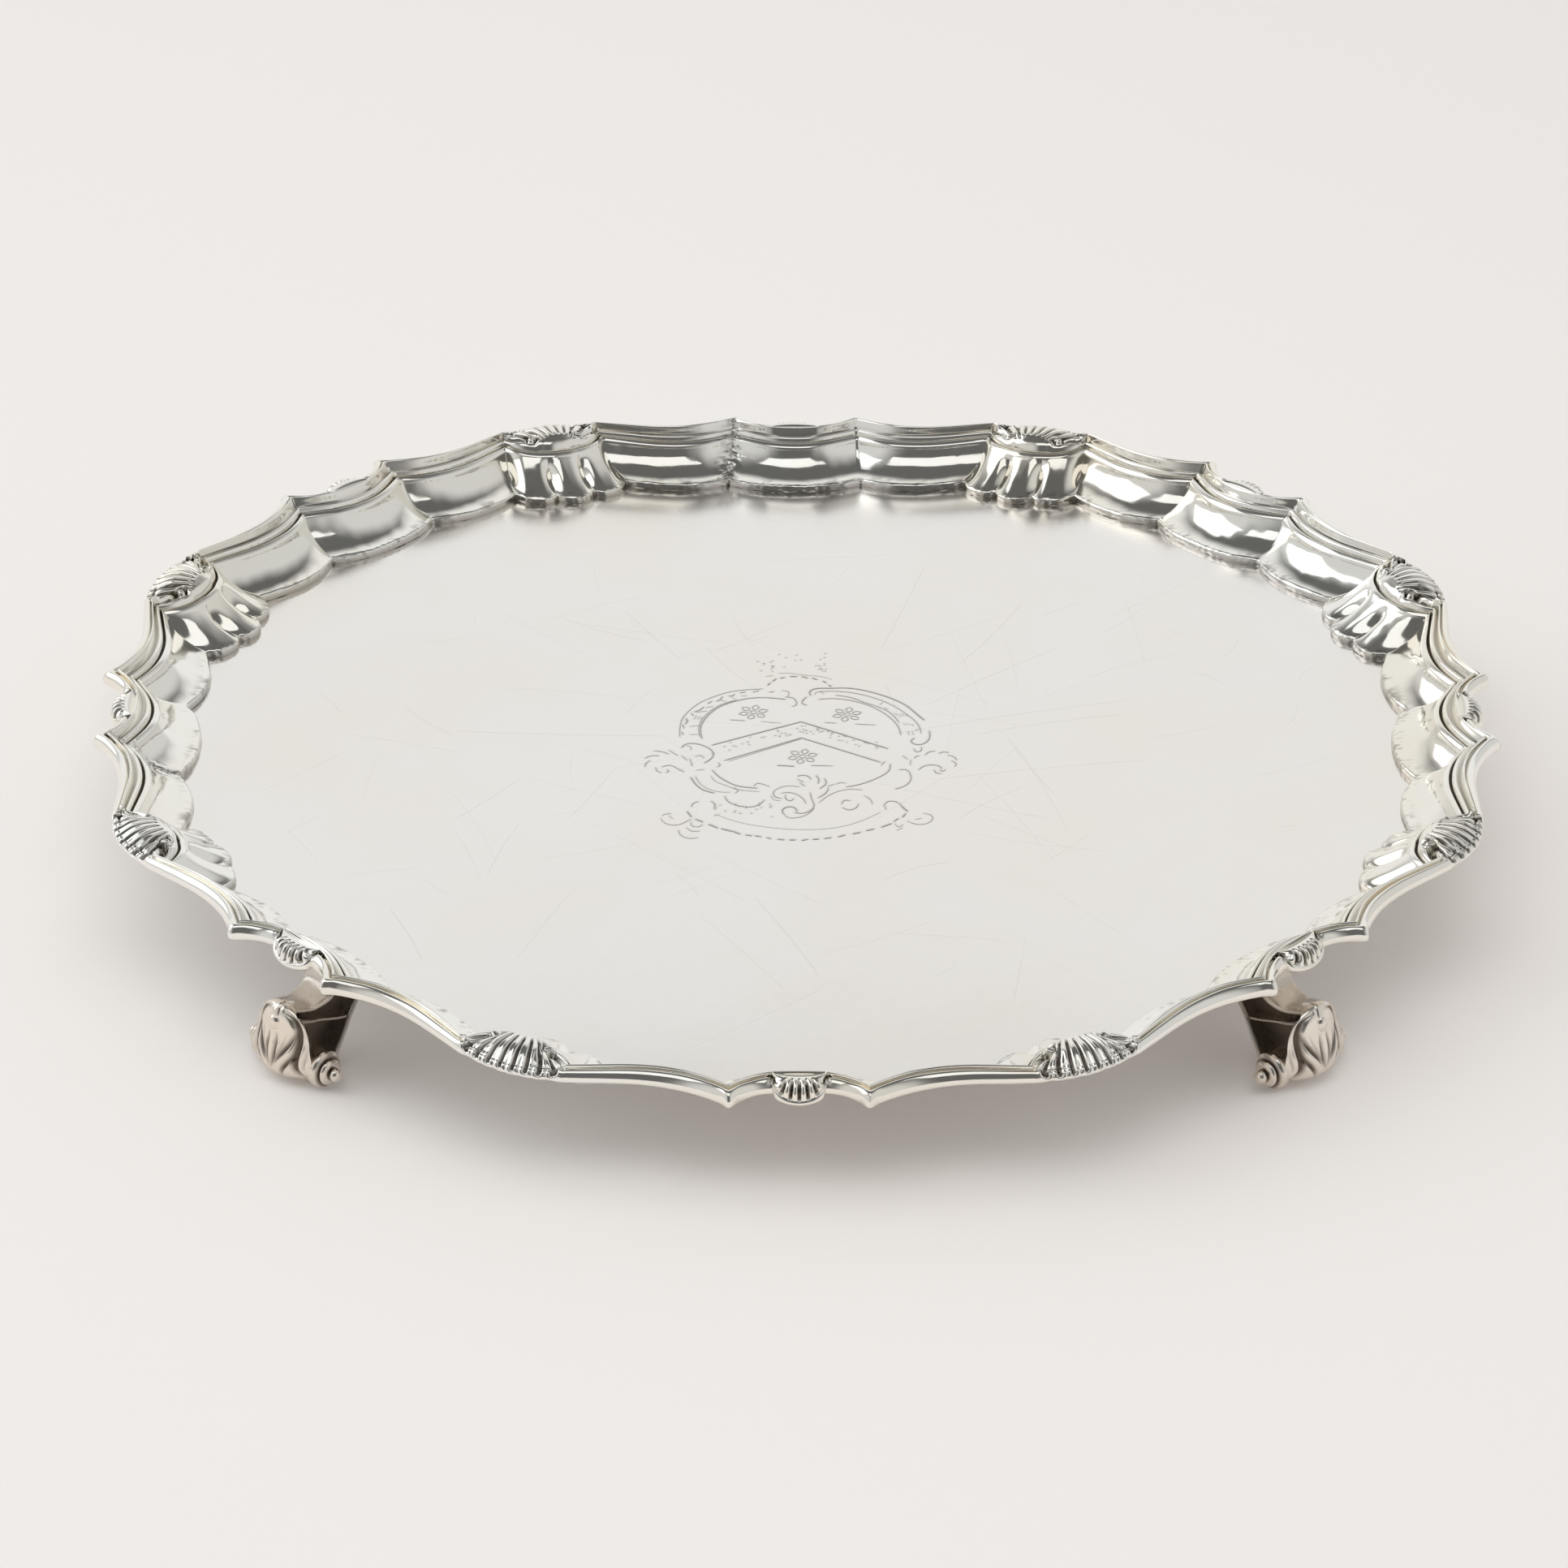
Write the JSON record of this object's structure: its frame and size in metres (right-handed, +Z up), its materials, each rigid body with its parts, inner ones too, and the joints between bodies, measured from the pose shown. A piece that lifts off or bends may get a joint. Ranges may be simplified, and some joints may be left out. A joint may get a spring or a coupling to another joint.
{
  "type": "salver",
  "caption": "Footed silver tray with a flat floor, a raised shell-and-scroll border of soldered castings and cast shell feet.",
  "frame": {"origin": "on the table, under the centre of the tray", "axes": "+Z up, the front of the tray towards -Y, feet at 45 degrees to X and Y"},
  "size_m": [0.3328, 0.3328, 0.0348],
  "materials": {
    "sheet_silver": "old polished sheet silver, soft satin sheen with fine scratches and a worn engraving",
    "cast_silver": "polished cast silver, bright on the high points, dark tarnish in the grooves, solder at the seams",
    "foot_silver": "polished cast silver with warm brown tarnish in the recesses"
  },
  "bodies": {
    "root": {"tray_plate": "sheet_silver", "border_section_1": "cast_silver", "border_section_2": "cast_silver", "border_section_3": "cast_silver", "border_section_4": "cast_silver", "border_section_5": "cast_silver", "border_section_6": "cast_silver", "border_section_7": "cast_silver", "border_section_8": "cast_silver", "foot_rear_right": "foot_silver", "foot_rear_left": "foot_silver", "foot_front_left": "foot_silver", "foot_front_right": "foot_silver"}
  },
  "joints": []
}
